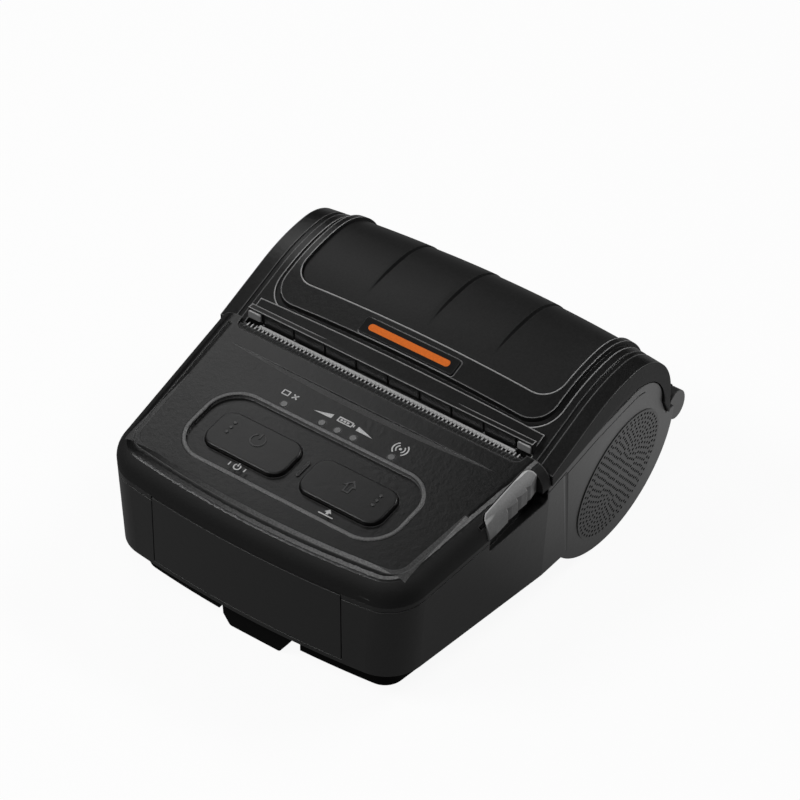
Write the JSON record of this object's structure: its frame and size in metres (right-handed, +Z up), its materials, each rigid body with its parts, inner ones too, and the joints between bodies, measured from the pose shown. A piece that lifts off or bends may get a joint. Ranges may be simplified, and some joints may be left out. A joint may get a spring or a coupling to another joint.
{
  "type": "portable label printer",
  "caption": "Hand-sized black thermal label printer with a hinged paper lid, a serrated tear bar, two push buttons, an opening lever and a slide-out battery pack",
  "frame": {"origin": "on the ground under the middle of the printer's box", "axes": "+Z up, -Y towards the front with the battery, +X to the right seen from the front, X=0 in the middle of the paper path"},
  "size_m": [0.1052, 0.1212, 0.0557],
  "materials": {
    "casing_black": "fine spark-eroded black moulding",
    "side_black": "satin black moulding",
    "window_black": "smooth dark tinted panel",
    "button_black": "satin black moulding",
    "lever_grey": "satin mid-grey moulding",
    "badge_black": "satin black insert",
    "led_lens": "clear lens, unlit",
    "steel": "brushed stainless steel",
    "dark_steel": "black-plated steel",
    "rubber_black": "moulded rubber",
    "platen_rubber": "ground silicone rubber",
    "head_ceramic": "glazed ceramic",
    "aluminium": "extruded",
    "gear_white": "acetal",
    "board_green": "solder mask",
    "frame_grey": "glass-filled moulding",
    "switch_metal": "stamped can",
    "contact_gold": "gold-plated",
    "motor_metal": "zinc-plated can"
  },
  "bodies": {
    "casing": {"lower_casing": "side_black", "top_casing": "casing_black", "base_plate": "side_black", "rubber_feet": "rubber_black", "case_screws": "dark_steel", "inner_frame": "frame_grey", "print_head": "head_ceramic", "head_heat_sink": "aluminium", "head_bracket": "steel", "head_springs": "steel", "label_sensor": "frame_grey", "tear_bar": "steel", "fluted_strip": "casing_black", "status_lights": "led_lens", "main_board": "board_green", "button_switches": "switch_metal", "wireless_module": "switch_metal", "motor": "motor_metal", "idler_pin": "steel", "port_board": "board_green", "usb_socket": "switch_metal", "power_socket": "frame_grey", "hinge_pin": "dark_steel", "lever_pin": "steel", "side_grille_left": "side_black", "side_grille_right": "side_black"},
    "lid": {"lid_shell": "casing_black", "lid_window": "window_black", "badge_plate": "badge_black", "platen_bracket": "lever_grey", "platen_bushings": "gear_white"},
    "platen": {"platen_roller": "platen_rubber", "platen_shaft": "steel", "platen_gear": "gear_white"},
    "idler": {"idler_gear": "gear_white"},
    "pinion": {"motor_pinion": "contact_gold", "motor_shaft": "steel"},
    "power_key": {"power_button": "button_black"},
    "feed_key": {"feed_button": "button_black"},
    "lever": {"open_lever": "lever_grey"},
    "battery": {"battery_pack": "side_black", "battery_contact_pads": "contact_gold"},
    "latch": {"battery_latch": "side_black"},
    "port_flap": {"port_cover": "rubber_black"}
  },
  "joints": [
    {"name": "lid_hinge", "type": "hinge", "parent": "casing", "child": "lid", "pos_m": [0, 0.0563, 0.0262], "axis": [-1, 0, 0], "range_deg": [0, 85]},
    {"name": "platen_spin", "type": "hinge", "parent": "lid", "child": "platen", "pos_m": [0, 0.0023, 0.0394], "axis": [1, 0, 0], "continuous": true},
    {"name": "idler_spin", "type": "hinge", "parent": "casing", "child": "idler", "pos_m": [-0.046, -0.00079, 0.02677], "axis": [1, 0, 0], "continuous": true},
    {"name": "pinion_spin", "type": "hinge", "parent": "casing", "child": "pinion", "pos_m": [-0.046, -0.01231, 0.02341], "axis": [1, 0, 0], "continuous": true},
    {"name": "power_press", "type": "slide", "parent": "casing", "child": "power_key", "axis": [0, 0.134, -0.991], "range_m": [0, 0.0008], "stiffness_N_per_m": 500},
    {"name": "feed_press", "type": "slide", "parent": "casing", "child": "feed_key", "axis": [0, 0.134, -0.991], "range_m": [0, 0.0008], "stiffness_N_per_m": 500},
    {"name": "lever_pivot", "type": "hinge", "parent": "casing", "child": "lever", "pos_m": [0.0483, -0.016, 0.04238], "axis": [0, -0.991, -0.134], "range_deg": [0, 10], "stiffness_Nm_per_rad": 0.02},
    {"name": "battery_slide", "type": "slide", "parent": "casing", "child": "battery", "axis": [0, -1, 0], "range_m": [0, 0.045]},
    {"name": "latch_slide", "type": "slide", "parent": "casing", "child": "latch", "axis": [-1, 0, 0], "range_m": [0, 0.0035], "stiffness_N_per_m": 200},
    {"name": "port_cover_hinge", "type": "hinge", "parent": "casing", "child": "port_flap", "pos_m": [-0.04919, -0.0252, 0.02375], "axis": [0, 0, -1], "range_deg": [0, 100]}
  ],
  "couplings": [
    {"joint": "idler_spin", "follows": "platen_spin", "ratio": -0.44444},
    {"joint": "pinion_spin", "follows": "platen_spin", "ratio": 1.3333}
  ]
}
